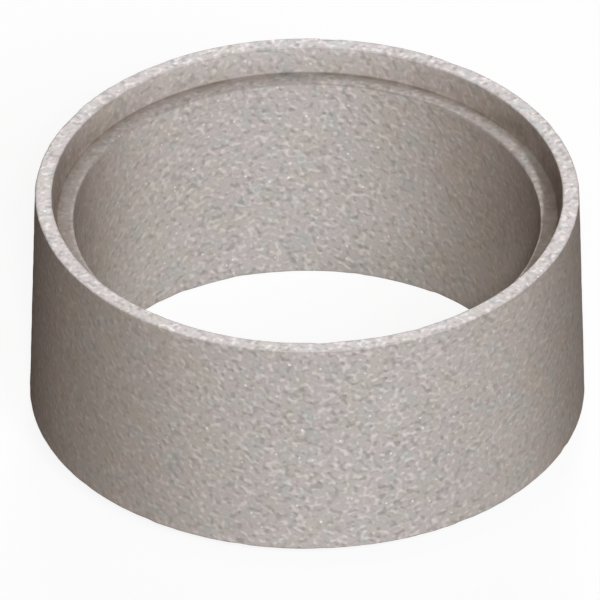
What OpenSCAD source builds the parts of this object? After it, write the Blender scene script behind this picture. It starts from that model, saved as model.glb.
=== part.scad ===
// Concrete riser ring: one precast ring with a tapered socket inside its rim and a tongue under
// its foot, so that rings stack on each other and on the shaft below.
// The ring stands on its tongue, centred on the Z axis, with the tongue's tip at Z 0.

/* [Bore] */
// Diameter of the clear way through the ring, at the tongue's tip where it is narrowest
bore_d = 582; // [300:1:1200]
// How far the bore's wall leans back, on the radius, from the tongue's tip up to the ledge
bore_draft = 7.5; // [0:0.5:20]

/* [Wall] */
// Height that one ring adds to a stack, from the shoulder to the rim
laying_height = 305; // [150:1:900]
// Width of the rim's flat top
rim_width = 22; // [12:0.5:60]
// How far the outside spreads, on the radius, from the rim down to the foot
outer_draft = 6.5; // [0:0.5:20]

/* [Joint] */
// Width of the ledge at the socket's floor
ledge_width = 22; // [18:0.5:60]
// How far the socket's wall leans out, on the radius, from the ledge up to the rim
socket_draft = 6; // [0:0.5:10]
// Length of the tongue below the shoulder
tongue_length = 21.5; // [12:0.5:60]
// Depth kept for the sealing strip, between the ledge and the tongue of the ring above
seal_bed = 15.5; // [4:0.5:30]
// Side clearance between a tongue and the socket that takes it
joint_gap = 4; // [1:0.5:6]

/* [Edges] */
// Radius of the cast edges
edge_r = 2.5; // [0.5:0.25:4]
// Radius in the two inner corners, at the ledge and at the shoulder
corner_r = 3; // [0.5:0.25:4]

/* [Hidden] */

// Straight steps that draw each rounded corner of the section
corner_steps = 3;
// Sides of the turned solid
ring_sides = 180;

// Heights, from the tongue's tip
shoulder_z = tongue_length;
rim_z = shoulder_z + laying_height;
socket_depth = tongue_length + seal_bed;
ledge_z = rim_z - socket_depth;

// Radii, from the bore outwards
bore_foot_r = bore_d / 2;
bore_top_r = bore_foot_r + bore_draft;
socket_floor_r = bore_top_r + ledge_width;
socket_mouth_r = socket_floor_r + socket_draft;
outer_rim_r = socket_mouth_r + rim_width;
outer_foot_r = outer_rim_r + outer_draft;

// The tongue's side runs beside the wall of the socket below, one joint gap inside it
tongue_root_r = socket_mouth_r - joint_gap;
tongue_tip_r = tongue_root_r - socket_draft * tongue_length / socket_depth;

// Section of the ring as [radius, height, corner radius], round from the tip of the tongue
section = [
    [bore_foot_r, 0, edge_r],
    [tongue_tip_r, 0, edge_r],
    [tongue_root_r, shoulder_z, corner_r],
    [outer_foot_r, shoulder_z, edge_r],
    [outer_rim_r, rim_z, edge_r],
    [socket_mouth_r, rim_z, edge_r],
    [socket_floor_r, ledge_z, corner_r],
    [bore_top_r, ledge_z, edge_r]
];

function unit(v) = v / norm(v);
function place(corner) = [corner[0], corner[1]];

// Points of the arc that rounds the corner between the points before and after it
function rounded(before, corner, after) =
    let (
        p = place(corner),
        r = corner[2],
        to_before = unit(place(before) - p),
        to_after = unit(place(after) - p),
        half_angle = acos(to_before * to_after) / 2,
        centre = p + unit(to_before + to_after) * r / sin(half_angle),
        first = p + to_before * r / tan(half_angle) - centre,
        last = p + to_after * r / tan(half_angle) - centre,
        sweep = 180 - 2 * half_angle
    )
    [for (i = [0:corner_steps])
        let (t = i / corner_steps)
        centre + (first * sin((1 - t) * sweep) + last * sin(t * sweep)) / sin(sweep)];

section_points = [
    for (i = [0:len(section) - 1])
        each rounded(
            section[(i + len(section) - 1) % len(section)],
            section[i],
            section[(i + 1) % len(section)]
        )
];

module riser_ring() {
    color([0.71, 0.69, 0.68])
        rotate_extrude($fn = ring_sides)
            polygon(section_points);
}

riser_ring();
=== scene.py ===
# %% [markdown]
# # A concrete riser ring
# Riser rings are stacked on a buried tank or a manhole to bring its opening up to the ground. Each ring is
# cast in one pour, between a steel jacket and a steel core, and leaves the mould as one heavy piece.
# So this lesson makes one mesh and one finish, and looks closely at both: the section of the ring, the
# small flaws that casting leaves, and the grey of the concrete.

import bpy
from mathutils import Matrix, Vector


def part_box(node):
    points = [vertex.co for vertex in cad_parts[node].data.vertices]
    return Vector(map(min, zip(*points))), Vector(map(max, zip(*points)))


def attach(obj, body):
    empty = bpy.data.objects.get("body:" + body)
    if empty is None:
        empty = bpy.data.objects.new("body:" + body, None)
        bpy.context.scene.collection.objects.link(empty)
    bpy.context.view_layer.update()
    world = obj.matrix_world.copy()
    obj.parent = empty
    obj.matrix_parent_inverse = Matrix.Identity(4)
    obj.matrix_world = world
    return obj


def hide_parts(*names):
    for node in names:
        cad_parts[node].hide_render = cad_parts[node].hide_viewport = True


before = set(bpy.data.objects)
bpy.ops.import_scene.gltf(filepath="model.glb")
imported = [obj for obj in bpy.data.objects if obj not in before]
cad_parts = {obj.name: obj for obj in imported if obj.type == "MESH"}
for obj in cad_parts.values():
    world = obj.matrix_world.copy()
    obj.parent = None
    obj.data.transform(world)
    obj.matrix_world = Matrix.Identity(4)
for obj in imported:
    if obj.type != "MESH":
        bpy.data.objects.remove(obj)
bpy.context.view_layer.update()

# %% [markdown]
# ## The camera
# The picture to match is an isometric view. Its ellipses are all equally flat, and the rim is as wide at
# the back as at the front, so nothing shrinks with distance. An orthographic camera draws that exactly.
# It is placed by one point that is easy to read in the picture, the centre of the rim.

# %% An isometric camera, set by the centre of the rim
import math

import bpy
from mathutils import Vector

image_side = 600
metres_per_pixel = 0.0012791
rim_centre_pixel = (307.15, 194.7)
isometric_tilt = math.atan(math.sqrt(0.5))
camera_distance = 3.0

ring_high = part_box("riser_ring")[1]
rim_height = ring_high.z
to_camera = Vector((0, -math.cos(isometric_tilt), math.sin(isometric_tilt)))
picture_right = Vector((1, 0, 0))
picture_up = Vector((0, math.sin(isometric_tilt), math.cos(isometric_tilt)))

half_side = image_side / 2
rim_right = (rim_centre_pixel[0] - half_side) * metres_per_pixel
rim_up = (half_side - rim_centre_pixel[1]) * metres_per_pixel
picture_centre = Vector((0, 0, rim_height)) - picture_right * rim_right - picture_up * rim_up

camera_data = bpy.data.cameras.new("isometric_camera")
camera_data.type = "ORTHO"
camera_data.ortho_scale = image_side * metres_per_pixel
camera = bpy.data.objects.new("isometric_camera", camera_data)
camera.location = picture_centre + to_camera * camera_distance
camera.rotation_euler = (math.pi / 2 - isometric_tilt, 0, 0)
bpy.context.scene.collection.objects.link(camera)
bpy.context.scene.camera = camera
bpy.context.scene.view_settings.view_transform = "Standard"
print("camera looks down", round(math.degrees(isometric_tilt), 2), "degrees")

# %% [markdown]
# ## The section
# Cut the ring through and the same outline shows on both sides of the bore. From the foot it has a tongue,
# a shoulder, an outer wall that leans in a little, a flat rim, a socket that the next ring's tongue drops
# into, a ledge, and a bore that widens upwards so that the core can be drawn out. It could be drawn by hand
# as a curve, but a list of corners follows the sizes by itself. Each corner has its own radius, because
# concrete can't fill a sharp corner of the mould.

# %% Sizes of the section, in metres
bore_foot_radius = 0.291
bore_lean = 0.0075
ledge_width = 0.022
socket_lean = 0.006
rim_width = 0.022
outside_spread = 0.0065
tongue_length = 0.0215
seal_bed = 0.0155
joint_gap = 0.004
edge_radius = 0.0025
corner_radius = 0.003

socket_depth = tongue_length + seal_bed
ledge_height = rim_height - socket_depth
ledge_edge_radius = bore_foot_radius + bore_lean
socket_floor_radius = ledge_edge_radius + ledge_width
socket_mouth_radius = socket_floor_radius + socket_lean
rim_radius = socket_mouth_radius + rim_width
foot_radius = rim_radius + outside_spread
tongue_root_radius = socket_mouth_radius - joint_gap
tongue_tip_radius = tongue_root_radius - socket_lean * tongue_length / socket_depth

section_corners = [
    (bore_foot_radius, 0, edge_radius),
    (tongue_tip_radius, 0, edge_radius),
    (tongue_root_radius, tongue_length, corner_radius),
    (foot_radius, tongue_length, edge_radius),
    (rim_radius, rim_height, edge_radius),
    (socket_mouth_radius, rim_height, edge_radius),
    (socket_floor_radius, ledge_height, corner_radius),
    (ledge_edge_radius, ledge_height, edge_radius),
]
print("widest", round(foot_radius, 4), "against the solid's", round(ring_high.x, 4))

# %% [markdown]
# ## Rounding the corners
# A Bevel modifier could round the edges of a finished mesh. Here the arcs are worked out on the section,
# so that every later step knows where they lie. The two straight lines that meet in a corner give the
# arc's centre, and its points are spread evenly from one line to the other.

# %% The arc that rounds a corner
import numpy as np

arc_steps = 4


def arc_points(before, corner, after):
    """Points of the arc that rounds a corner, on the way from the corner before to the one after."""
    tip, rounding = np.array(corner[:2]), corner[2]
    to_before = np.array(before[:2]) - tip
    to_after = np.array(after[:2]) - tip
    to_before /= np.linalg.norm(to_before)
    to_after /= np.linalg.norm(to_after)
    half_angle = math.acos(to_before @ to_after) / 2
    middle = (to_before + to_after) / np.linalg.norm(to_before + to_after)
    centre = tip + middle * rounding / math.sin(half_angle)
    first = tip + to_before * rounding / math.tan(half_angle) - centre
    last = tip + to_after * rounding / math.tan(half_angle) - centre
    sweep = math.pi - 2 * half_angle
    turns = np.linspace(0, 1, arc_steps + 1)[:, None]
    spokes = first * np.sin((1 - turns) * sweep) + last * np.sin(turns * sweep)
    return centre + spokes / math.sin(sweep)


arcs = []
for i, corner in enumerate(section_corners):
    after = section_corners[(i + 1) % len(section_corners)]
    arcs.append(arc_points(section_corners[i - 1], corner, after))
print("rounded corners", len(arcs))

# %% [markdown]
# ## Spacing the points
# Every straight stretch of the section gets a row of points, because the flaws added later can only move
# points that exist. They lie closest beside the arcs, so that the light turns there and not across the
# whole face. On the two tall walls they lie further apart than on the narrow faces, because dirt changes
# more slowly there. A Subdivision modifier would space them evenly and spend far more faces.

# %% Points along the section
tall_face = 0.1
tall_spacing = 0.0056
narrow_spacing = 0.0027
beside_arc = 0.0012


def straight_points(start, end):
    """Points between two arcs, without the ends, close beside the arcs and even in between."""
    length = np.linalg.norm(end - start)
    spacing = tall_spacing if length > tall_face else narrow_spacing
    inner = max(1, round((length - 2 * beside_arc) / spacing))
    along = np.linspace(beside_arc, length - beside_arc, inner + 1) / length
    return start + (end - start) * along[:, None]


section = []
for arc, next_arc in zip(arcs, arcs[1:] + arcs[:1]):
    section += [arc, straight_points(arc[-1], next_arc[0])]
section = np.vstack(section)
radius, height = section.T
print("points in the section", len(section))

# %% [markdown]
# ## Turning the section
# A Screw modifier could turn the outline, but the flaws have to be different at every angle. So the points
# are turned with plain arithmetic into a grid: one row for each angle, one column for each section point.
# The same turning also makes a grid of normals, the directions that point out of the concrete.

# %% Turn the section into a grid of points
stations = 512

angles = np.arange(stations) * 2 * math.pi / stations
outward = np.stack([np.cos(angles), np.sin(angles)], axis=1)


def turned(outline):
    """The grid that an outline of radius and height makes when it is turned round the axis."""
    grid = np.empty((stations, len(outline), 3))
    grid[..., :2] = outward[:, None, :] * outline[None, :, :1]
    grid[..., 2] = outline[:, 1]
    return grid


along_section = np.roll(section, -1, axis=0) - np.roll(section, 1, axis=0)
along_section /= np.linalg.norm(along_section, axis=1)[:, None]
section_normals = np.stack([along_section[:, 1], -along_section[:, 0]], axis=1)
smooth_grid = turned(section)
normal_grid = turned(section_normals)
print("points on the ring", smooth_grid.shape[0] * smooth_grid.shape[1])

# %% [markdown]
# ## The uneven skin
# Steel moulds are dented and scraped, and the concrete shrinks as it sets, so no face is truly flat. A slow
# waver and a finer swell press the skin in by a few tenths of a millimetre. A Displace modifier would push
# points both ways. Here they only move inwards, so the ring never grows past its true size.

# %% How deep the skin is pressed in
from mathutils import noise


def skin_noise(scale, shift):
    """Smooth noise round 0 at each grid point, with about one swell in each 1/scale metres."""
    points = smooth_grid.reshape(-1, 3) * scale + shift
    values = [noise.noise(point) for point in points.tolist()]
    return np.array(values).reshape(smooth_grid.shape[:2])


def pressed_in(scale, shift, most):
    """Depth of a smooth unevenness at each grid point, from nothing to its most."""
    return most * np.clip(0.5 + skin_noise(scale, shift), 0, 1)


mould_waver = pressed_in(scale=9.0, shift=3.1, most=0.0004)
skin_swell = pressed_in(scale=58.0, shift=11.7, most=0.00032)
print("mean depth of the skin", round((mould_waver + skin_swell).mean() * 1000, 2), "mm")

# %% [markdown]
# ## Worn edges
# The outer edges are the weakest part of a casting, and knocks take crumbs off them. Cutting pieces away
# with other meshes would be slow and rough. A third noise does it, which acts close to an edge and only
# where it is high, so most of each edge stays whole and the worn stretches are about a millimetre deep.

# %% Wear the edges and press the skin in
wear_most = 0.0011
wear_start = 0.22
wear_rise = 1.6
wear_reach = 1.4 * edge_radius

near_edge = np.zeros(len(section))
for edge_r, edge_z, rounding in section_corners:
    if rounding == edge_radius:
        from_edge = np.hypot(radius - edge_r, height - edge_z)
        near_edge = np.maximum(near_edge, np.clip(wear_rise - from_edge / wear_reach, 0, 1))
worn = np.clip(2 * (skin_noise(scale=34.0, shift=27.3) - wear_start), 0, 1)
edge_wear = wear_most * worn * near_edge

skin_depth = mould_waver + skin_swell + edge_wear
skin_depth -= skin_depth.min()
cast_grid = smooth_grid - normal_grid * skin_depth[..., None]
print("deepest part of the skin", round(skin_depth.max() * 1000, 2), "mm")

# %% [markdown]
# ## The mesh
# Each point of the grid is joined to its neighbours by one four-sided face. Both directions of the grid run
# round and close on themselves, so the mesh has no border and no seam, like the concrete it stands for.

# %% Make the mesh of the ring
def ring_mesh(name, grid):
    """A closed mesh from a grid that runs round in both directions."""
    rows, columns = grid.shape[:2]
    row, column = np.meshgrid(np.arange(rows), np.arange(columns), indexing="ij")
    next_row, next_column = (row + 1) % rows, (column + 1) % columns
    corners = [row * columns + column, next_row * columns + column]
    corners += [next_row * columns + next_column, row * columns + next_column]
    faces = np.stack(corners, axis=-1).reshape(-1, 4)
    mesh = bpy.data.meshes.new(name)
    mesh.from_pydata(grid.reshape(-1, 3).tolist(), [], faces.tolist())
    mesh.polygons.foreach_set("use_smooth", np.ones(len(faces), dtype=bool))
    mesh.update()
    return mesh


ring_object = bpy.data.objects.new("cast_ring", ring_mesh("cast_ring", cast_grid))
bpy.context.scene.collection.objects.link(ring_object)
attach(ring_object, "root")
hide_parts("riser_ring")
print("triangles", 2 * len(ring_object.data.polygons))

# %% [markdown]
# ## Which side is shaded
# Many faces of the ring are darkened in the colour, as painted shade where the light falls off: most on
# one side, least at the back. It could be painted by hand on the mesh, but formulas are easier to adjust.
# Two small helpers are enough: one fades from 0 to 1 between two values, and one tells how many degrees each
# row of points is from a direction. Painted shade is a number at each point, 0 for none and about 1 for
# full.

# %% Helpers for painted shade, and the names of the faces
# the most shaded side gets the most painted shade, the least shaded side the least
least_shade_side, most_shade_side = 100, -10
slack = 0.0005


def fade(values, start, end):
    """0 at start, 1 at end, with an easy rise in between."""
    share = np.clip((values - start) / (end - start), 0, 1)
    return share * share * (3 - 2 * share)


def away_from(direction):
    """Degrees round the ring from a direction, as a column of the grid."""
    turn = np.degrees(angles) - direction
    return np.abs((turn + 180) % 360 - 180)[:, None]


across_ledge = radius - ledge_edge_radius
above_ledge = height - ledge_height
in_socket = (across_ledge > 0) & (radius < socket_mouth_radius + 2 * slack)
in_socket &= above_ledge > -edge_radius - slack
in_bore = (across_ledge < slack) & (above_ledge <= 0) & (height > slack)
on_outside = (radius > rim_radius - slack) & (height > tongue_length)
print("points in the socket, the bore and outside", in_socket.sum(), in_bore.sum(), on_outside.sum())

# %% [markdown]
# ## Painted shade on the ledge
# The ledge is darkened in the colour as painted shade, darkest in the corner, where shade gathers. On the
# most shaded side a painted shadow covers the ledge nearly to the lip, and narrows to a wedge on the way
# round.
# Far from there the ledge has only a film of painted shade, and the lip is darkened to take off its
# highlight. In the values below, a pair tells where a fade starts and where it ends, in degrees round the
# ring or in metres.

# %% The painted shadow, the film, the lip and the corner, all painted shade
wedge_from, wedge_start, wedge_per_degree = 10, 0.002, 0.00047
wedge_blur = 0.002
shade_film_full, shade_film_sides, shade_film_edge = 0.34, (70, 110), (0.0015, 0.005)
far_side_shade_full, far_side_shade_sides = 0.34, (50, 80)
lip_full, lip_sides, lip_reach = 0.65, (10, 45), (0.004, 0.001)
corner_full, corner_reach = 0.9, (0.007, 0.0235)

from_most_shade, from_least_shade = away_from(most_shade_side), away_from(least_shade_side)
# a painted shadow that covers the ledge on the most shaded side and narrows to a wedge
shadow_edge = wedge_start + wedge_per_degree * np.maximum(from_most_shade - wedge_from, 0)
painted_shadow = fade(across_ledge, shadow_edge - wedge_blur, shadow_edge + wedge_blur)
# a film of painted shade over the ledge
shade_film = shade_film_full + far_side_shade_full * fade(from_least_shade, *far_side_shade_sides)
shade_film = shade_film * fade(from_most_shade, *shade_film_sides) * fade(across_ledge, *shade_film_edge)
# painted shade on the lip, which takes off the highlight of its rounding
lip_shade = lip_full * fade(from_most_shade, *lip_sides) * fade(np.abs(across_ledge), *lip_reach)
ledge_shade = np.maximum(np.maximum(shade_film, painted_shadow), lip_shade)
# painted shade in the ledge's corner
ledge_shade = ledge_shade + (corner_full - ledge_shade) * fade(across_ledge, *corner_reach)
on_ledge = in_socket & (above_ledge < slack)
# the dirt printed here is painted shade
print("mean dirt on the ledge", ledge_shade[:, on_ledge].mean().round(2))

# %% [markdown]
# ## Painted shade on the socket wall
# The corner under the socket wall holds a dark line of painted shade, except where the painted shadow has
# filled it. Above it a film of painted shade climbs the wall and fades towards the mouth, thin at the back
# and darker towards the sides. Shadow alone would leave the corner too soft, so the line goes a little past
# full.

# %% The painted shade on the wall and the line in the corner
wall_thin, wall_darkening, wall_darkest_film = 0.07, 1.1, 0.75
wall_low, wall_most = 0.3, 0.88
wall_foot = (0.0002, 0.0035)
line_full, line_sides = 1.15, (20, 45)
line_reach, line_climb = (0.0172, 0.0215), (0.0042, 0.0012)

# painted shade on the socket wall, darker away from the back
wall_shade_film = wall_thin + wall_darkening * (1 - np.cos(np.radians(from_least_shade)))
wall_shade_film = np.minimum(wall_shade_film, wall_darkest_film)
wall_shade = np.minimum(wall_shade_film + wall_low * fade(above_ledge, socket_depth, 0), wall_most)
socket_shade = ledge_shade + (wall_shade - ledge_shade) * fade(above_ledge, *wall_foot)
# a line of painted shade in the corner
corner_line = fade(across_ledge, *line_reach) * fade(above_ledge, *line_climb)
corner_line = line_full * corner_line * fade(from_most_shade, *line_sides)
socket_shade = np.maximum(socket_shade, corner_line)
# the dirt printed here is painted shade
print("mean dirt in the socket", socket_shade[:, in_socket].mean().round(2))

# %% [markdown]
# ## Painted shade in the bore and outside
# The upper bore is darkened on its sides as painted shade, which fades on the way down and reaches deeper on
# one side than on the other; the lip's painted shade runs a little way down. The outside has painted shade
# on the most shaded flank, and a fainter patch further round. Each face then takes the painted shade worked
# out for it.

# %% Bore, outside, and all the painted shade together
bore_shade_film, bore_shade_full, bore_shade_uneven = 0.09, 0.43, 0.14
bore_shade_slant, bore_shade_length = 0.08, 0.16
bright_bore_side, bore_shade_sides = least_shade_side + 5, (25, 65)
lip_shade_below = (-0.004, -0.001)
flank_shade_full, flank_shade_sides = 0.4, (34, 8)
far_flank_shade_full, far_flank_side, far_flank_shade_sides = 0.16, 226, (24, 6)
much_shade = 0.3

rightward = outward[:, :1]
# painted shade on the sides of the upper bore
bore_shade_foot = bore_shade_slant * rightward
bore_side_shade = fade(height, bore_shade_foot, bore_shade_foot + bore_shade_length)
bore_side_shade = bore_side_shade * fade(away_from(bright_bore_side), *bore_shade_sides)
bore_shade = bore_shade_film + (bore_shade_full - bore_shade_uneven * rightward) * bore_side_shade
# the lip's painted shade runs a little down the bore
bore_shade = np.maximum(bore_shade, lip_shade * fade(above_ledge, *lip_shade_below))
# painted shade on the flanks of the outside
outside_shade = flank_shade_full * fade(from_most_shade, *flank_shade_sides)
far_flank_shade = far_flank_shade_full * fade(away_from(far_flank_side), *far_flank_shade_sides)
outside_shade = outside_shade + far_flank_shade
faces, amounts = [in_socket, in_bore, on_outside], [socket_shade, bore_shade, outside_shade]
# all the painted shade of the ring, one number for each point
painted_shade = np.select(faces, amounts, 0)
# the dirt printed here is painted shade
print("share of the ring with much dirt", (painted_shade > much_shade).mean().round(2))

# %% [markdown]
# ## The rim and the closed skin
# The rounded edges of the rim are darkened as painted shade, against the highlight they catch. The flat of
# the rim is lightened in the colour, as painted light on the face that looks up to the light. On the walls
# the paste closes over the sand towards the flanks, so the grain shows less and the colour turns browner
# there as painted shade; on the ledge not so much.

# %% Painted shade on the rim edges, painted light on the rim, and the closed skin with painted shade
rim_edge_full, rim_edge_reach = 0.35, (0.0042, 0.0012)
rim_light_depth, rim_light_full_depth = 0.0016, 0.0003
flank_full, flank_sides, most_lit_side = 0.5, (5, 65), 278
ledge_flank_share = 0.4
quarter_turn = 90

# painted shade on the rim's rounded edges, against the highlight they catch
rim_edges = np.zeros(len(section))
for edge_r in (rim_radius, socket_mouth_radius):
    from_edge = np.hypot(radius - edge_r, height - rim_height)
    rim_edges = np.maximum(rim_edges, fade(from_edge, *rim_edge_reach))
painted_shade = np.maximum(painted_shade, rim_edge_full * rim_edges)
# painted light: the flat of the rim is lightened because it faces up to the light
painted_rim_light = fade(height, rim_height - rim_light_depth, rim_height - rim_light_full_depth)

# away from the most lit sides the grain is muted and tinted browner, as painted shade
from_most_lit_sides = quarter_turn - np.abs(away_from(most_lit_side) - quarter_turn)
closed_skin_and_flank_shade = flank_full * fade(from_most_lit_sides, *flank_sides) * (1 - painted_rim_light)
closed_skin_and_flank_shade = np.where(on_ledge, ledge_flank_share * closed_skin_and_flank_shade, closed_skin_and_flank_shade)
# the dirt printed here is painted shade, and the closed skin carries painted shade too
print("mean dirt", painted_shade.mean().round(3), "and mean closed skin", closed_skin_and_flank_shade.mean().round(3))

# %% [markdown]
# ## Handing the numbers to the finish
# A texture could carry the painted shade and light, but it would need the mesh unwrapped first. Attributes
# need
# no unwrapping: they hold one number for each point of the mesh, and the finish reads them by name.

# %% Write painted shade, painted rim light and closed skin on the mesh
def write_on_points(name, values):
    """Store one number for each point, from a row along the section or a grid of rows."""
    grid = np.broadcast_to(values, (stations, len(section)))
    attribute = ring_object.data.attributes.new(name, "FLOAT", "POINT")
    attribute.data.foreach_set("value", grid.ravel())
    print("wrote", name, "from", grid.min().round(2), "to", grid.max().round(2))


write_on_points("painted_shade", painted_shade)
write_on_points("painted_rim_light", painted_rim_light)
write_on_points("closed_skin_and_flank_shade", closed_skin_and_flank_shade)

# %% [markdown]
# ## The finish, step by step
# Concrete is cement paste, sand, stones and trapped air. Each of them gets a texture of its own size, so
# that the finish can be tuned one thing at a time. A few helpers keep the node work short. They add to
# whatever tree the names nodes and links stand for, so that the floor and the sky can use them too.

# %% Helpers for nodes
concrete = bpy.data.materials.new("cast_concrete")
concrete.use_nodes = True
nodes, links = concrete.node_tree.nodes, concrete.node_tree.links
shader = nodes["Principled BSDF"]


def put(socket, value):
    """Join another node to a socket, or write a plain value in it."""
    if isinstance(value, bpy.types.NodeSocket):
        links.new(value, socket)
    else:
        socket.default_value = value


def add(kind, sockets, **settings):
    """Add a node, set its options, and fill its sockets by name or number."""
    made = nodes.new(kind)
    for name, value in settings.items():
        setattr(made, name, value)
    for name, value in sockets.items():
        put(made.inputs[name], value)
    return made


def reckon(operation, *values):
    """One step of arithmetic."""
    return add("ShaderNodeMath", dict(enumerate(values)), operation=operation).outputs[0]


def eased(value, start, end, low=0.0, high=1.0):
    """low where value is at start, high where it is at end, with an easy rise."""
    sockets = {"Value": value, "From Min": start, "From Max": end, "To Min": low, "To Max": high}
    return add("ShaderNodeMapRange", sockets, interpolation_type="SMOOTHSTEP").outputs["Result"]


print("nodes that a new finish starts with", [node.name for node in nodes])

# %% [markdown]
# ## A place for each texture
# Solid textures fill space like the grain of real stone, so the ring needs no unwrapping. Their cells lie
# on straight lines, which would show on a straight wall. So each texture is moved and turned first.

# %% Soft noise, set askew
askew_turns = (0.62, 0.41)

place = add("ShaderNodeTexCoord", {}).outputs["Object"]


def askew(at, shift):
    """The place moved and turned, so that no texture lines up with the walls or with another texture."""
    sockets = {"Vector": at, "Location": (shift, shift, shift), "Rotation": (*askew_turns, shift)}
    return add("ShaderNodeMapping", sockets).outputs[0]


def cloud(scale, at, shift, detail=0.0):
    """Soft noise with about one cloud in each 1/scale metres."""
    sockets = {"Vector": askew(at, shift), "Scale": scale, "Detail": detail}
    return add("ShaderNodeTexNoise", sockets).outputs["Fac"]


fine_sand = cloud(scale=300.0, at=place, shift=0.71, detail=1.0)
print("nodes with the fine sand", len(nodes))

# %% [markdown]
# ## Grains, hollows and pinholes
# Under the thin skin of cement sit grains of sand a few millimetres wide. They show as soft bumps, with
# hollows in between and pinholes where air was trapped against the steel. The high parts of one noise make
# the bumps, and the low parts of another make the hollows. A Voronoi texture scatters points at random; the
# distance to the nearest point draws round holes, and the point's random colour decides which are kept.

# %% The height of the skin at any place
spot_core_share = 0.35
chance_blur = 0.05
bump_levels, hollow_levels = (0.46, 0.84), (0.54, 0.16)
hollow_depth, pinhole_depth = 0.8, 0.35


def spots(scale, at, reach, share, shift):
    """Round spots in a share of the cells of a random scatter, 1 in the middle of a spot."""
    scatter = add("ShaderNodeTexVoronoi", {"Vector": askew(at, shift), "Scale": scale})
    spot = eased(scatter.outputs["Distance"], reach * spot_core_share, reach, 1.0, 0.0)
    chance = add("ShaderNodeSeparateColor", {"Color": scatter.outputs["Color"]}).outputs["Red"]
    kept = eased(chance, 1 - share - chance_blur, 1 - share + chance_blur)
    return reckon("MULTIPLY", spot, kept)


def skin_height(at):
    """Bumps stand up towards 1, hollows and pinholes go down below 0."""
    bumps = eased(cloud(scale=142.0, at=at, shift=0.37), *bump_levels)
    hollows = eased(cloud(scale=126.0, at=at, shift=2.91), *hollow_levels)
    pinholes = spots(scale=90.0, at=at, reach=0.30, share=0.3, shift=1.13)
    level = reckon("MULTIPLY_ADD", hollows, -hollow_depth, bumps)
    return reckon("MULTIPLY_ADD", pinholes, -pinhole_depth, level)


height_here = skin_height(place)
pale_sand = spots(scale=75.0, at=place, reach=0.17, share=0.30, shift=4.71)
print("nodes with the grains", len(nodes))

# %% [markdown]
# ## Painted light on the upper sides
# The upper side of each bump is lightened and the underside darkened in the colour, as painted light and
# shade. To find the upper sides, the height is worked out a second time, a step higher: where the skin drops
# on the way up, the difference is positive and the painted light lies.

# %% Find the upper sides of the grains
toward_light_step = (0.0010, -0.0006, 0.0015)

stepped_toward_light = add("ShaderNodeVectorMath", {0: place, 1: toward_light_step}, operation="ADD").outputs[0]
# painted light on the upper side of each bump and painted shade on its underside
painted_relief_light = reckon("SUBTRACT", height_here, skin_height(stepped_toward_light))
print("nodes with the dust", len(nodes))

# %% [markdown]
# ## The grey of the cement
# Cement is never one grey. Broad patches lean to pink, to green or to yellow, as the mix or the mould oil
# varied. One picture of stone wrapped round the ring would stretch or show a seam, so the patches are soft
# noise too, and each decides how much of its grey shows.

# %% Colour: broad patches
pinkish_grey = (0.486, 0.440, 0.420, 1)
greenish_grey = (0.454, 0.441, 0.420, 1)
yellowish_grey = (0.478, 0.438, 0.400, 1)
green_levels, yellow_levels = (0.5, 0.70), (0.48, 0.7)


def blend(share, first, second):
    """A colour between two others, where a share above 1 goes past the second."""
    # a Mix node has sockets of every kind: 6, 7 and output 2 are the ones for colours
    sockets = {"Factor": share, 6: first, 7: second}
    return add("ShaderNodeMix", sockets, data_type="RGBA", clamp_factor=False).outputs[2]


green_patches = eased(cloud(scale=38.0, at=place, shift=8.37, detail=1.0), *green_levels)
yellow_patches = eased(cloud(scale=26.0, at=place, shift=14.9, detail=1.0), *yellow_levels)
cement = blend(yellow_patches, blend(green_patches, pinkish_grey, greenish_grey), yellowish_grey)
print("nodes with the broad patches", len(nodes))

# %% [markdown]
# ## Light and dark grains
# Painted light on the upper sides and the bumps, painted shade in the hollows, and pale sand each add their
# part to one factor round 1, which will multiply the grey. That is easier to tune than a blend of many
# colours.
# Fine sand and large blotches go both ways, so their middle is taken off first.

# %% Add up the light and dark
even_light = 0.98
relief_light_strength, bump_light_strength, pale_sand_light = 0.18, 0.27, 0.66
fine_sand_light, blotch_light = 0.20, 0.10
noise_middle = 0.5

blotches = cloud(scale=7.0, at=place, shift=9.9, detail=1.0)
# painted light and shade of the relief
light = reckon("MULTIPLY_ADD", painted_relief_light, relief_light_strength, even_light)
# bumps lighter and hollows darker: painted light and shade
light = reckon("MULTIPLY_ADD", height_here, bump_light_strength, light)
light = reckon("MULTIPLY_ADD", pale_sand, pale_sand_light, light)
for texture, strength in ((fine_sand, fine_sand_light), (blotches, blotch_light)):
    light = reckon("MULTIPLY_ADD", reckon("SUBTRACT", texture, noise_middle), strength, light)
print("nodes with light and dark", len(nodes))

# %% [markdown]
# ## Closed skin, painted rim light and painted shade in the colour
# The three attributes come back here. Closed paste hides the grain and turns the flanks browner as painted
# shade, the rim is lightened as painted light, and painted shade darkens the cement unevenly. Every step is
# a factor on the one before, the way thin layers act on real stone.

# %% Colour: three layers over the cement
flank_shade_tint = (1.0, 0.91, 0.80, 1)
rim_light_tint = (1.335, 1.38, 1.42, 1)
shade_tint = (0.44, 0.405, 0.375, 1)
no_tint = (1, 1, 1, 1)
uneven_levels, uneven_least, uneven_most = (0.2, 0.8), 0.8, 1.1
shade_cover = 0.6


def on_points(name):
    """The number that the mesh holds under this name."""
    return add("ShaderNodeAttribute", {}, attribute_name=name).outputs["Fac"]


def tinted(colour, share, tint):
    """The colour with a share of a tint laid over it."""
    layer = blend(share, no_tint, tint)
    return add("ShaderNodeVectorMath", {0: colour, 1: layer}, operation="MULTIPLY").outputs[0]


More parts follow.
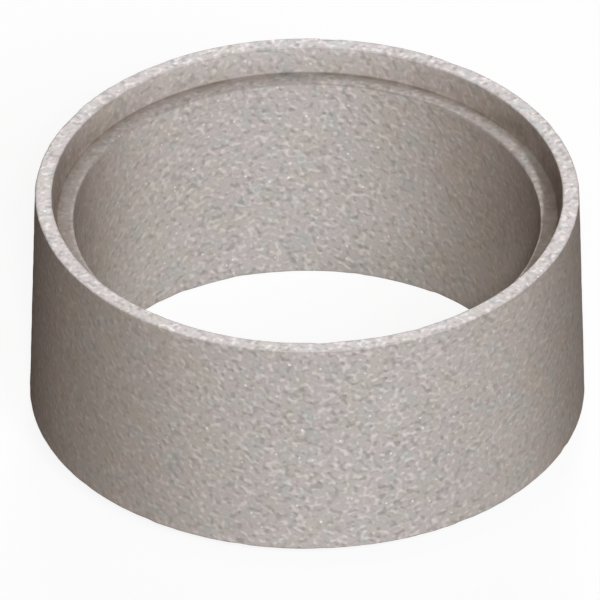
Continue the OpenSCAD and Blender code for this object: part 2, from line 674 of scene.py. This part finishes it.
# soft noise makes the painted shade uneven
shade_clouds = cloud(scale=40.0, at=place, shift=12.1, detail=2.0)
shade_uneven = eased(shade_clouds, *uneven_levels, low=uneven_least, high=uneven_most)
shade_here = reckon("MULTIPLY", on_points("painted_shade"), shade_uneven)
skin_and_flank_shade_here = on_points("closed_skin_and_flank_shade")
covered = reckon("MAXIMUM", reckon("MULTIPLY", shade_here, shade_cover), skin_and_flank_shade_here)
# for plain numbers a Mix node has the sockets 0, 2 and 3; where the skin is covered, light goes towards 1
light = add("ShaderNodeMix", {0: covered, 2: light, 3: 1.0}, data_type="FLOAT").outputs[0]
skin_colour = add("ShaderNodeVectorMath", {0: cement, "Scale": light}, operation="SCALE").outputs[0]
# the browner tint on the flanks is painted shade
skin_colour = tinted(skin_colour, skin_and_flank_shade_here, flank_shade_tint)
# the rim's painted light
skin_colour = tinted(skin_colour, on_points("painted_rim_light"), rim_light_tint)
# painted shade darkens and browns the cement
skin_colour = tinted(skin_colour, shade_here, shade_tint)
put(shader.inputs["Base Color"], skin_colour)
print("nodes with the layers", len(nodes))

# %% [markdown]
# ## Relief and gloss
# The same bumps and holes also stand up and go down, by a fraction of a millimetre. That is too fine for the
# mesh, so a Bump node tilts the shading instead, less where paste closed the skin. Dry concrete hardly
# shines, and the tops of the bumps are rubbed a little smoother than the hollows.

# %% Fine relief and roughness
fine_relief = 0.3
relief_strength, relief_depth = 0.10, 0.0015
hollow_roughness, bump_roughness = 0.95, 0.8
faint_shine = 0.12

relief = reckon("MULTIPLY_ADD", fine_sand, fine_relief, height_here)
relief = reckon("MULTIPLY", relief, reckon("SUBTRACT", 1.0, skin_and_flank_shade_here))
bump = add("ShaderNodeBump", {"Strength": relief_strength, "Distance": relief_depth, "Height": relief})
put(shader.inputs["Normal"], bump.outputs["Normal"])
roughness = eased(height_here, -1.0, 1.0, low=hollow_roughness, high=bump_roughness)
put(shader.inputs["Roughness"], roughness)
shader.inputs["Specular IOR Level"].default_value = faint_shine
ring_object.data.materials.append(concrete)
print("nodes in the finish", len(nodes))

# %% [markdown]
# ## The floor
# The ring stands on a plain white ground. One large square is enough for it, as nothing of its edge is seen.

# %% A square floor
floor_side = 12.0

half_floor = floor_side / 2
floor_corners = [(x * half_floor, y * half_floor, 0) for x, y in ((-1, -1), (1, -1), (1, 1), (-1, 1))]
floor_mesh = bpy.data.meshes.new("floor")
floor_mesh.from_pydata(floor_corners, [], [(0, 1, 2, 3)])
floor = bpy.data.objects.new("floor", floor_mesh)
bpy.context.scene.collection.objects.link(floor)
print("floor", floor_side, "metres wide")

# %% [markdown]
# ## What the floor shows
# The floor shows white to the camera with a little real shading left, so the ring still casts a faint
# shadow. More light would make it white too, but would wash out the ring. For light that bounces, the floor
# is dark: a white floor would throw light up the walls and flatten them.

# %% A white floor that hardly lights the ring
shade_share = 0.12
plain_white = (1, 1, 1, 1)
shaded_white = (0.88, 0.88, 0.88, 1)
bounce_brown = (0.055, 0.044, 0.034, 1)

floor_white = bpy.data.materials.new("floor_white")
floor_white.use_nodes = True
nodes, links = floor_white.node_tree.nodes, floor_white.node_tree.links
nodes.clear()


def seen_directly():
    """1 for rays that show the surface to the eye, 0 for light that bounces."""
    ray = add("ShaderNodeLightPath", {}).outputs
    seen = reckon("ADD", ray["Is Camera Ray"], ray["Is Glossy Ray"])
    return reckon("MINIMUM", reckon("ADD", seen, ray["Is Transmission Ray"]), 1.0)


glow = add("ShaderNodeEmission", {"Color": plain_white, "Strength": 1.0}).outputs[0]
pale = add("ShaderNodeBsdfDiffuse", {"Color": shaded_white}).outputs[0]
dark = add("ShaderNodeBsdfDiffuse", {"Color": bounce_brown}).outputs[0]
shown = add("ShaderNodeMixShader", {0: shade_share, 1: glow, 2: pale}).outputs[0]
both = add("ShaderNodeMixShader", {0: seen_directly(), 1: dark, 2: shown}).outputs[0]
add("ShaderNodeOutputMaterial", {"Surface": both})
floor_mesh.materials.append(floor_white)
print("nodes of the floor", len(nodes))

# %% [markdown]
# ## The light
# The walls are brightest a little right of the middle and fall off evenly to both sides. Two suns in front
# do that, one nearly straight ahead and one further to the right, both about as high as the camera. A low
# one from behind lights the rim and the far side, and the back of the socket keeps it off the ledge. Suns
# light every part of the ring from the same direction, which a lamp nearby wouldn't do.

# %% Three suns
lamp_distance = 3


def sun(name, azimuth, elevation, strength, softness, colour):
    """A distant light; strength 1 lights a white face that looks straight at it to full white."""
    data = bpy.data.lights.new(name, "SUN")
    data.energy = strength * math.pi
    data.angle = math.radians(softness)
    data.color = colour
    lamp = bpy.data.objects.new(name, data)
    turn, rise = math.radians(azimuth), math.radians(elevation)
    level = math.cos(rise)
    towards = Vector((math.cos(turn) * level, math.sin(turn) * level, math.sin(rise)))
    lamp.location = towards * lamp_distance
    lamp.rotation_euler = towards.to_track_quat("Z", "Y").to_euler()
    bpy.context.scene.collection.objects.link(lamp)


sun("front_light", azimuth=272, elevation=38, strength=0.715, softness=8, colour=(0.97, 0.99, 1.0))
sun("right_light", azimuth=296, elevation=35, strength=0.53, softness=18, colour=(0.945, 0.99, 1.045))
sun("light_behind", azimuth=86, elevation=26, strength=0.56, softness=20, colour=(1.0, 1.0, 1.0))

# %% [markdown]
# ## The sky
# The sky fills the shade weakly and warmly, so that it turns brown and not black. To the camera it is white
# like the floor, by the same choice between rays that are seen and light that bounces.

# %% A warm sky that looks white
fill_colour, fill_strength = (1.0, 0.4, 0.22, 1), 0.06

sky = bpy.data.worlds.new("sky")
sky.use_nodes = True
bpy.context.scene.world = sky
nodes, links = sky.node_tree.nodes, sky.node_tree.links
nodes.clear()
fill = add("ShaderNodeBackground", {"Color": fill_colour, "Strength": fill_strength}).outputs[0]
white = add("ShaderNodeBackground", {"Color": plain_white, "Strength": 1.0}).outputs[0]
both = add("ShaderNodeMixShader", {0: seen_directly(), 1: fill, 2: white}).outputs[0]
add("ShaderNodeOutputWorld", {"Surface": both})
print("nodes of the sky", len(nodes))
